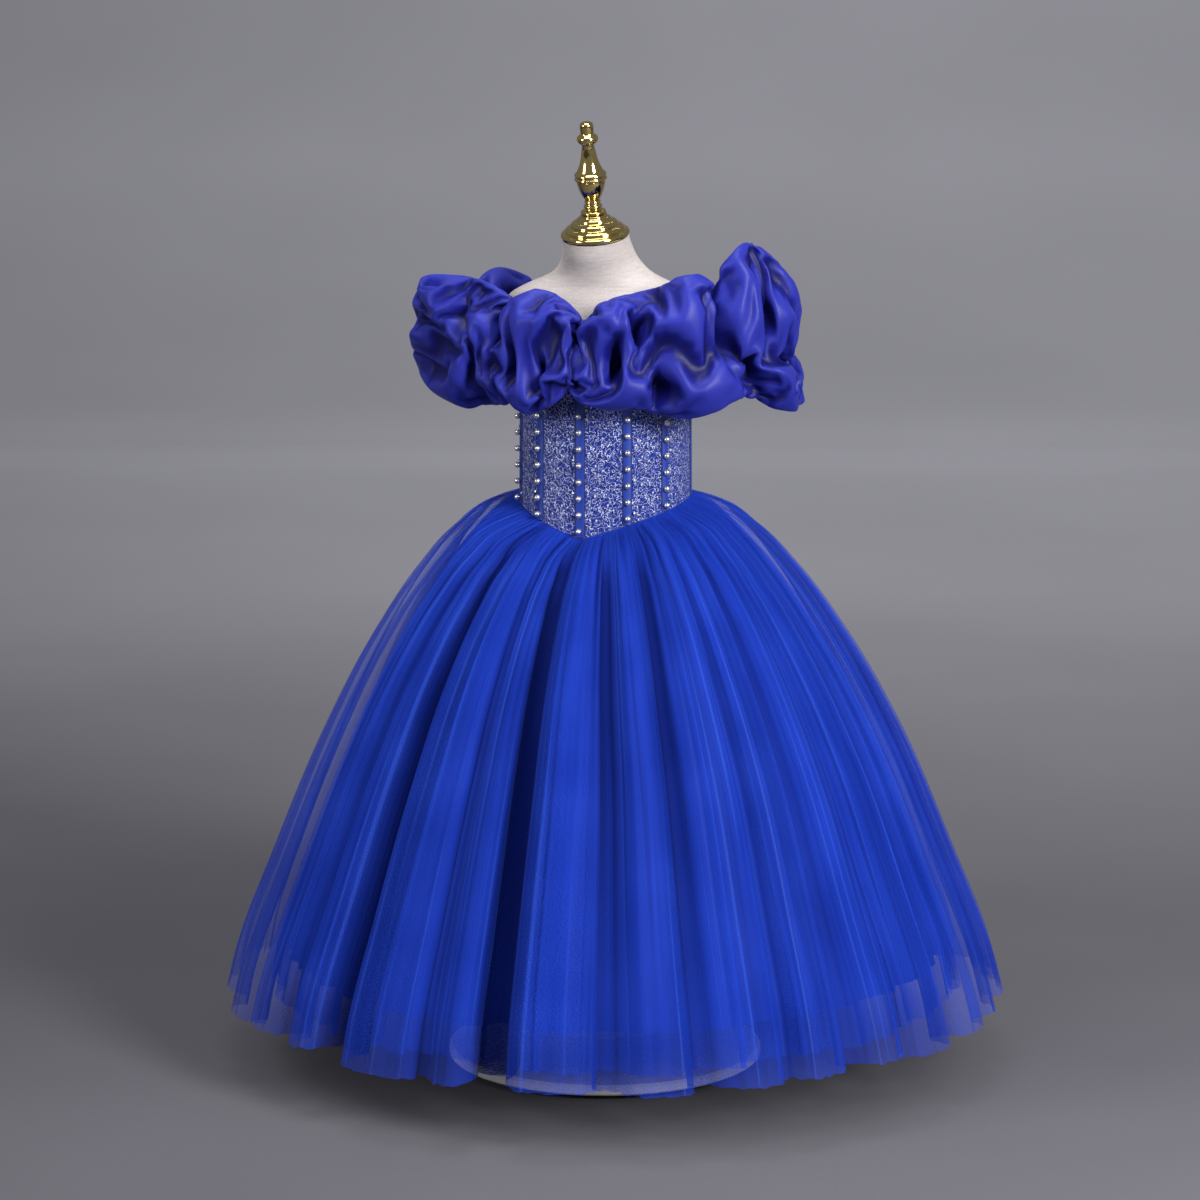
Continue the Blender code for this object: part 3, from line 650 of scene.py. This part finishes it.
def bodice_reach(angle):
    """Distance of the bodice's face from the axis, to turn widths into angles."""
    turn = radians(angle)
    wide, deep = BODICE_HALF_WIDTH, BODICE_HALF_DEPTH
    return wide * deep / ((deep * sin(turn)) ** 2 + (wide * cos(turn)) ** 2) ** 0.5


channel_satin = Finish("channel_satin", sheen_weight=0.1, sheen_tint=(0.3, 0.45, 1.0))
weave = channel_satin.cloth.stretched(1500, 300, 1).noise(1, 2)
across_channel = channel_satin.cloth.node("SeparateXYZ", None, {0: channel_satin.cloth})
edge = abs(across_channel / CHANNEL_WIDTH - 0.5).span(0.33, 0.42)
channel_satin.feed(base_color=edge.tint((0.012, 0.040, 0.30), (0.001, 0.003, 0.04)),
                   roughness=weave.span(0.3, 0.7, 0.34, 0.50))
channel_satin.emboss(weave, 0.0002, 0.3)

for channel in CHANNELS:
    half = np.degrees(CHANNEL_WIDTH / 2 / bodice_reach(channel.angle))
    bulge = np.concatenate([[0], np.linspace(0, 1, 15), [1]])
    lift = 0.0001 + 0.0017 * np.sin(pi * bulge) ** 0.45
    lift[0], lift[-1] = -0.0006, -0.0006
    angles = channel.angle + half * (2 * bulge - 1)[None, :]
    low = basque(channel.angle) + 0.0006
    heights = np.linspace(low, CHANNEL_TOP_Z, 90)[:, None]
    pucker = 0.00022 * np.sin(heights * 1250) * np.sin(pi * bulge) + 0 * angles
    strip = woven("channel_" + channel.name, on_bodice(
        angles, heights, np.broadcast_to(lift, pucker.shape) + pucker),
        (CHANNEL_WIDTH, CHANNEL_TOP_Z - low))
    dress(strip, channel_satin, "satin", "boning_" + channel.name)

# ------------------------------------------------------------------ sewn beads
# Round metallic glass pearls, about 7 mm, one stitch each, spaced down the five front
# channels, with a few small ones beside them.

BEAD_RADIUS, BEAD_PITCH, BEAD_FOOT = 0.0037, 0.0195, 0.0075
SMALL_BEAD_RADIUS, SMALL_BEAD_ASIDE, SMALL_BEAD_SHARE = 0.0016, 4.6, 0.25
ON_CHANNEL, ON_TWEED = 0.0012, 0.0            # how far out from the bodice a bead's foot is


def add_ball(points, faces, centre, outward, radius, rounds=24, rings=16):
    """A bead with its drilled ends towards the thread's sides."""
    start, up = len(points), Vector((0, 0, 1))
    along = up.cross(outward).normalized()
    side = outward.cross(along)
    for ring in range(rings + 1):
        tip = pi * (0.06 + 0.88 * ring / rings)
        for step in range(rounds):
            turn = 2 * pi * step / rounds
            points.append(centre + radius * (along * cos(tip) + sin(tip) * (
                outward * cos(turn) + side * sin(turn))))
    for ring in range(rings):
        for step in range(rounds):
            after = (step + 1) % rounds
            here, over = start + ring * rounds, start + (ring + 1) * rounds
            faces.append((here + step, over + step, over + after, here + after))


def sewn_beads(name, places):
    """One piece of beads, from each one's centre, outward direction and radius."""
    points, faces = [], []
    for centre, outward, radius in places:
        add_ball(points, faces, centre, outward, radius)
    mesh = bpy.data.meshes.new(name)
    mesh.from_pydata(points, [], faces)
    mesh.shade_smooth()
    piece = bpy.data.objects.new(name, mesh)
    bpy.context.scene.collection.objects.link(piece)
    return piece


pearl = Finish("metallic_pearl", metallic=0.93)
film = pearl.place.noise(700, 2)
pearl.feed(base_color=film.span(0.3, 0.7).tint((0.76, 0.73, 0.68), (0.95, 0.93, 0.89)),
           roughness=film.span(0.3, 0.7, 0.26, 0.33))

small_beads = np.random.default_rng(12)
for channel in CHANNELS:
    if not channel.beads:
        continue
    sewn = []
    for number in range(channel.beads):
        height = float(basque(channel.angle)) + BEAD_FOOT + number * BEAD_PITCH
        places = [(channel.angle, height, BEAD_RADIUS, ON_CHANNEL)]
        if small_beads.random() < SMALL_BEAD_SHARE:
            beside = small_beads.choice([-1, 1]) * SMALL_BEAD_ASIDE
            places.append((channel.angle + beside, height + 0.006, SMALL_BEAD_RADIUS, ON_TWEED))
        for angle, up, radius, raised in places:
            foot = on_bodice(np.array(angle), np.array(up), raised)
            outward = Vector((foot[0] / BODICE_HALF_WIDTH ** 2,
                              foot[1] / BODICE_HALF_DEPTH ** 2, 0)).normalized()
            sewn.append((Vector(foot) + outward * radius * 0.92, outward, radius))
    dress(sewn_beads("pearls_" + channel.name, sewn), pearl, "beads", "beads_" + channel.name)

# ------------------------------------------------------------------ back zip
# A concealed nylon zip let into the centre back: two folds of tape that meet over the
# coil; the small drop puller at the top is not drawn.

zip_angles = 180 + np.linspace(-ZIP_HALF_ANGLE, ZIP_HALF_ANGLE, 25)[None, :]
zip_heights = np.linspace(float(basque(180)), NECKLINE_Z, 80)[:, None]
middle = (zip_angles - 180) / ZIP_HALF_ANGLE
zip_out = 0.0006 * (1 - middle ** 2) ** 0.5 - 0.0010 * np.exp(-(middle / 0.08) ** 2)
zip_tape = woven("zip_tape", on_bodice(zip_angles, zip_heights, zip_out + 0 * zip_heights),
                 (0.006, 0.18))
zip_nylon = Finish("zip_nylon", specular_ior_level=0.4)
teeth = zip_nylon.cloth.stretched(300, 1400, 1).noise(1, 1)
zip_nylon.feed(base_color=teeth.tint((0.010, 0.03, 0.24), (0.02, 0.055, 0.36)),
               roughness=teeth.span(0.3, 0.7, 0.45, 0.6))
zip_nylon.emboss(teeth, 0.0003, 0.5)
dress(zip_tape, zip_nylon, "zip", "back_zip")

# ------------------------------------------------------------------ off-shoulder ruffle
# A band of stiff organza-satin, folded double into a tube, eased on along the neckline
# and caught down by hand with small pearls, so that it stands in uneven puffs.

RuffleSection = namedtuple("RuffleSection", "angle stand height reach rise fall")
RUFFLE_SECTIONS = [
    RuffleSection(-180, 0.003, 0.866, 0.046, 0.052, 0.052),
    RuffleSection(-145, 0.003, 0.866, 0.046, 0.052, 0.052),
    RuffleSection(-120, 0.022, 0.870, 0.044, 0.054, 0.054),
    RuffleSection(-90, 0.056, 0.872, 0.044, 0.054, 0.056),
    RuffleSection(-60, 0.026, 0.870, 0.048, 0.056, 0.056),
    RuffleSection(-35, 0.003, 0.864, 0.052, 0.056, 0.050),
    RuffleSection(0, 0.003, 0.866, 0.044, 0.042, 0.046),
    RuffleSection(35, 0.003, 0.866, 0.054, 0.052, 0.048),
    RuffleSection(60, 0.034, 0.876, 0.054, 0.076, 0.056),
    RuffleSection(78, 0.062, 0.880, 0.052, 0.092, 0.058),
    RuffleSection(100, 0.070, 0.878, 0.050, 0.066, 0.058),
    RuffleSection(125, 0.024, 0.872, 0.044, 0.056, 0.054),
    RuffleSection(145, 0.003, 0.866, 0.046, 0.052, 0.052),
    RuffleSection(180, 0.003, 0.866, 0.046, 0.052, 0.052),
]
# Where the tube is caught down: round the neckline, from its lower edge (-1) to its upper
# edge (1), how deep, over how many degrees and how much of the loop, and how far up.
Catch = namedtuple("Catch", "angle level depth wide tall lift")
CATCHES = [
    Catch(-176, 0.0, 1.0, 4, 0.05, 0), Catch(-150, 0.3, 0.9, 4, 0.06, 0),
    Catch(-128, -0.1, 1.0, 4, 0.05, 0), Catch(-106, 0.2, 0.8, 4, 0.06, 0),
    Catch(-58, 0.35, 0.20, 4, 0.07, 0),
    Catch(-53, -0.35, 0.25, 3, 0.10, 0), Catch(-39, 0.30, 0.55, 3, 0.06, 0.010),
    Catch(-29, -0.05, 0.95, 3, 0.05, 0), Catch(-15, -0.3, 0.7, 3, 0.06, 0),
    Catch(4, 0.05, 1.0, 3, 0.06, 0.011),
    Catch(4, 0.6, 0.55, 4, 0.05, 0),
    Catch(23, -0.10, 1.0, 3, 0.05, -0.009), Catch(32, 0.32, 0.8, 2.5, 0.06, 0),
    Catch(42, -0.45, 0.75, 3, 0.06, 0),
    Catch(64, 0.15, 1.0, 3, 0.06, 0.014), Catch(63, 0.6, 0.45, 4, 0.05, 0),
    Catch(73, -0.35, 0.8, 3, 0.07, 0), Catch(83, 0.30, 0.7, 3, 0.09, 0),
    Catch(96, -0.15, 0.5, 3, 0.06, 0), Catch(132, -0.2, 1.0, 4, 0.05, 0),
    Catch(154, 0.1, 0.9, 4, 0.06, 0),
]
GROUP_ENDS = [-176, -128, -106, -41, 4, 64, 132, 184]
TUBE_STEPS, LOOP_STEPS = 250, 44
RUFFLE_CUT, SEAM_HALF_WIDTH, SEAM_HALF_DEPTH = (1.6, 0.34), 0.110, 0.092
SETTLING_FRAMES, LEVELLING_ROUNDS, CREASE_HEIGHT = 24, 14, 0.009
TIED_DEPTH, TIED_WITHIN, TIE_BEAD_RADIUS = 0.95, 70, 0.0030


def settle(piece):
    """Makes the shape that a piece's modifiers give it into its own mesh."""
    shape = bpy.data.meshes.new_from_object(
        piece.evaluated_get(bpy.context.evaluated_depsgraph_get()))
    piece.modifiers.clear()
    piece.data = shape


band = np.linspace(-176, 184, TUBE_STEPS, endpoint=False)
section = read_smoothly(RUFFLE_SECTIONS, "angle", (band + 180) % 360 - 180)
in_group = np.zeros(TUBE_STEPS)
for start, end in zip(GROUP_ENDS, GROUP_ENDS[1:]):
    inside = (band >= start) & (band < end)
    in_group[inside] = np.sin(pi * (band[inside] - start) / (end - start)) ** 0.7
# Round the tube from the neckline seam and back: out and up first, then a slight waist where
# the gathering thread runs, and a dip at every catch.
loop = np.linspace(0, 1, LOOP_STEPS + 1)
up = np.sin(2 * pi * loop)
waisted = (0.35 - 0.28 * np.exp(-((band + 78) / 28) ** 2)
           - 0.24 * np.exp(-((band - 108) / 26) ** 2))[:, None]
out = 0.5 * (1 - np.cos(2 * pi * loop)) * (1 - waisted * np.exp(-((loop - 0.5) / 0.09) ** 2))
lift = np.zeros((TUBE_STEPS, LOOP_STEPS + 1))
held = np.zeros((TUBE_STEPS, LOOP_STEPS + 1), bool)
held[:, [0, -1]] = True
for catch in CATCHES:
    on_loop = 0.5 - 0.25 * catch.level
    round_band = ((band - catch.angle + 180) % 360 - 180)[:, None]
    near = np.exp(-(round_band / catch.wide) ** 2
                  - ((loop[None, :] - on_loop) / catch.tall) ** 2)
    out = out * (1 - 0.93 * catch.depth * near)
    lift = lift + near * catch.lift
    row, column = int(np.abs(round_band).argmin()), round(on_loop * LOOP_STEPS)
    held[row, column - 1:column + 2] = True
leaning_in = 0.45 * np.exp(-((band - 95) / 25) ** 2)[:, None] * np.clip(up, 0, 1)
reach = (section.reach * (0.85 + 0.2 * in_group))[:, None] * out * (1 - leaning_in)
tall = np.where(up > 0, (section.rise * (0.84 + 0.2 * in_group))[:, None],
                (section.fall * (0.88 + 0.15 * in_group))[:, None])
turn = np.radians(band)[:, None]
start_points = np.stack([
    (SEAM_HALF_WIDTH + section.stand[:, None] + reach) * np.sin(turn),
    -(SEAM_HALF_DEPTH + section.stand[:, None] / 2 + reach) * np.cos(turn),
    section.height[:, None] + tall * up + lift], -1)
ruffle = woven("ruffle", start_points.transpose(1, 0, 2)[::-1], RUFFLE_CUT, ring=True)
held = held.T[::-1]

# The torso, a little enlarged for the bodice over it, keeps the cloth out while it settles.
form_rows, form_turns = np.linspace(0.62, 0.95, 24)[:, None], np.linspace(0, 2 * pi, 64, False)
form_guard = woven("form_guard", form_surface(form_turns[None, :], form_rows + 0 * form_turns)
                   * np.array([1.05, 1.06, 1]), ring=True)
form_guard.modifiers.new("guard", "COLLISION")
form_guard.collision.thickness_outer = 0.002

# The cloth is let grow between its catches, with a little air in the tube, so that the extra
# length settles into puffs and creases against the bodice.
pins = ruffle.vertex_groups.new(name="caught_down")
pins.add(np.flatnonzero(held.ravel()).tolist(), 1.0, "REPLACE")
puffing = ruffle.modifiers.new("puffing", "CLOTH")
organza = puffing.settings
organza.quality, organza.mass = 6, 0.05
organza.tension_stiffness = organza.compression_stiffness = 20
organza.shear_stiffness, organza.bending_stiffness = 6, 2.6
organza.tension_damping = organza.compression_damping = 8
organza.bending_damping, organza.air_damping = 1.0, 3
organza.vertex_group_mass = "caught_down"
organza.shrink_min = -0.52
organza.use_pressure, organza.uniform_pressure_force = True, 0.9
organza.effector_weights.gravity = 0
puffing.collision_settings.use_self_collision = True
puffing.collision_settings.self_distance_min = 0.0022
puffing.collision_settings.distance_min = 0.0025
for frame_number in range(1, SETTLING_FRAMES + 1):
    bpy.context.scene.frame_set(frame_number)
settle(ruffle)
bpy.context.scene.frame_set(1)
bpy.data.objects.remove(form_guard)

# How far each point stands proud of its surroundings, for the painted shade in the creases and the
# painted highlight on the ridges.
settled_points = np.zeros(held.size * 3)
ruffle.data.vertices.foreach_get("co", settled_points)
settled_points = settled_points.reshape(*held.shape, 3)
levelled = settled_points
for _ in range(LEVELLING_ROUNDS):
    above = np.concatenate([levelled[1:], levelled[-1:]])
    below = np.concatenate([levelled[:1], levelled[:-1]])
    levelled = (above + below + np.roll(levelled, 1, 1) + np.roll(levelled, -1, 1)) / 4
facing = np.array([list(vertex.normal) for vertex in ruffle.data.vertices])
facing = facing.reshape(*held.shape, 3)
proud = ((settled_points - levelled) * facing).sum(-1)
mark_painted_shading(ruffle, 0.5 + proud / CREASE_HEIGHT)
smoothing = ruffle.modifiers.new("smoothing", "SUBSURF")
smoothing.levels = smoothing.render_levels = 1
settle(ruffle)
ruffle.data.shade_smooth()

tied = []
for catch in CATCHES:
    if catch.depth < TIED_DEPTH or abs(catch.angle) > TIED_WITHIN:
        continue
    column = int(np.abs((band - catch.angle + 180) % 360 - 180).argmin())
    spot = Vector(settled_points[round((0.5 + 0.25 * catch.level) * LOOP_STEPS), column])
    outward = Vector((spot.x / 0.11 ** 2, spot.y / 0.09 ** 2, 0)).normalized()
    tied.append((spot + outward * TIE_BEAD_RADIUS, outward, TIE_BEAD_RADIUS))
dress(sewn_beads("pearls_ruffle", tied), pearl, "beads")

organza_finish = Finish("royal_organza", sheen_weight=0.07, sheen_tint=(0.3, 0.35, 1.0),
                        specular_ior_level=0.2)
fine_warp = organza_finish.cloth.stretched(2200, 500, 1).noise(1, 2)
fine_weft = organza_finish.cloth.stretched(500, 2200, 1).noise(1, 2)
painted_crease_light = organza_finish.place.node("Attribute", {"attribute_name": "painted_fold_shading"}, output=2)
# Painted shade in the sunken creases, painted highlight on the proud ridges, by how far each point
# stands out.
folded = painted_crease_light.span(0.12, 0.52).tint((0.0024, 0.0032, 0.070), (0.0062, 0.0084, 0.182))
folded = painted_crease_light.span(0.60, 0.95, 0.0, 0.8).tint(folded, (0.028, 0.036, 0.36))
cloud = organza_finish.cloth.noise(11, 3).span(0.3, 0.7, 0.0, 0.35)
organza_finish.feed(base_color=cloud.tint(folded, (0.006, 0.007, 0.16)),
                    roughness=fine_warp.span(0.3, 0.7, 0.34, 0.50))
organza_finish.emboss(fine_warp + fine_weft, 0.0003, 0.4)
dress(ruffle, organza_finish, "organza",
      *[f"ruffle_{part}_{hand}" for part in ("front", "sleeve", "back")
        for hand in ("left", "right")])

# ------------------------------------------------------------------ stage, camera and lights
# A sheet of grey studio paper swept up behind the gown, with a softbox on either side, one
# above and one on the paper, and a long lens a little above the neck.

camera = bpy.data.objects.new("camera", bpy.data.cameras.new("camera"))
bpy.context.scene.collection.objects.link(camera)
VIEW_TURN, VIEW_DISTANCE, VIEW_HEIGHT, VIEW_DOWN = radians(20), 4.745, 1.4145, radians(10.22)
camera.location = (VIEW_DISTANCE * sin(VIEW_TURN), -VIEW_DISTANCE * cos(VIEW_TURN), VIEW_HEIGHT)
camera.rotation_euler = (pi / 2 - VIEW_DOWN, 0, VIEW_TURN)
camera.data.lens = 120.75
camera.data.sensor_width = 36
camera.data.shift_x = -0.0042
bpy.context.scene.camera = camera

SweepRow = namedtuple("SweepRow", "walk back height")
SWEEP_ROWS = [
    SweepRow(0, -7.0, 0.0), SweepRow(1, 3.4, 0.0), SweepRow(2, 5.4, 0.10),
    SweepRow(3, 7.0, 0.60), SweepRow(4, 8.2, 1.8), SweepRow(5, 8.8, 5.0),
]
SWEEP_HALF_WIDTH = 8
line = read_smoothly(SWEEP_ROWS, "walk", np.linspace(0, 5, 80))
across = np.linspace(-SWEEP_HALF_WIDTH, SWEEP_HALF_WIDTH, 12)
x, back = np.meshgrid(across, line.back)
height = np.broadcast_to(line.height[:, None], x.shape)
points = np.stack([x * cos(VIEW_TURN) - back * sin(VIEW_TURN),
                   x * sin(VIEW_TURN) + back * cos(VIEW_TURN), height], -1)
sweep = woven("studio_sweep", points, (1, 1))
paper = Finish("grey_paper", roughness=0.9, specular_ior_level=0.1)
grain = paper.place.noise(260, 3)
cloudy = paper.place.noise(0.8, 3)
along_sweep = paper.cloth.node("SeparateXYZ", None, {0: paper.cloth}, output=1)
across_sweep = paper.cloth.node("SeparateXYZ", None, {0: paper.cloth})
# Painted light on the paper: lighter to the right, a little lighter in the strip in front of the
# gown, darkest on the floor round it, lighter further back, a darker band near the bend and lighter
# again up the wall; a faint random mottle lies over it.
painted_light_and_mottle = across_sweep.span(0.40, 0.60) * 0.2 + along_sweep.span(0.118, 0.130, 0.06, 0)
painted_light_and_mottle = painted_light_and_mottle + along_sweep.span(0.136, 0.195) * 0.32 + along_sweep.span(0.14, 0.31) * 0.46
painted_light_and_mottle = painted_light_and_mottle - along_sweep.span(0.285, 0.335) * 0.19 + along_sweep.span(0.40, 0.60) * 0.14
painted_light_and_mottle = painted_light_and_mottle + (cloudy * 0.8 + grain * 0.2).span(0.3, 0.7, -0.05, 0.05)
paper.feed(base_color=painted_light_and_mottle.tint((0.075, 0.073, 0.085), (0.42, 0.414, 0.455)))
paper.emboss(grain, 0.0005, 0.15)
sweep.data.materials.append(paper.material)


def soft_light(name, place, aim, size, power):
    """A white softbox at a place, turned to what it lights."""
    data = bpy.data.lights.new(name, "AREA")
    data.shape, data.size, data.size_y = "RECTANGLE", size[0], size[1]
    data.energy = power
    light = bpy.data.objects.new(name, data)
    bpy.context.scene.collection.objects.link(light)
    light.location = place
    light.rotation_euler = (Vector(aim) - Vector(place)).to_track_quat("-Z", "Y").to_euler()


soft_light("key_softbox", (3.6, -2.4, 2.5), (0, 0, 0.55), (1.2, 1.6), 268)
soft_light("fill_softbox", (-2.6, -3.4, 2.0), (0, 0, 0.5), (1.2, 1.8), 70)
soft_light("top_softbox", (0.0, -0.6, 3.6), (0, 0, 0.6), (1.6, 1.6), 60)
soft_light("wall_softbox", (-0.9, 2.6, 4.4), (-2.6, 7.2, 0.2), (3.0, 1.5), 130)

world = bpy.data.worlds.new("studio_air")
bpy.context.scene.world = world
world.use_nodes = True
air = world.node_tree.nodes["Background"].inputs
air["Color"].default_value, air["Strength"].default_value = (0.55, 0.56, 0.60, 1), 0.30
bpy.context.scene.view_settings.view_transform = "Standard"
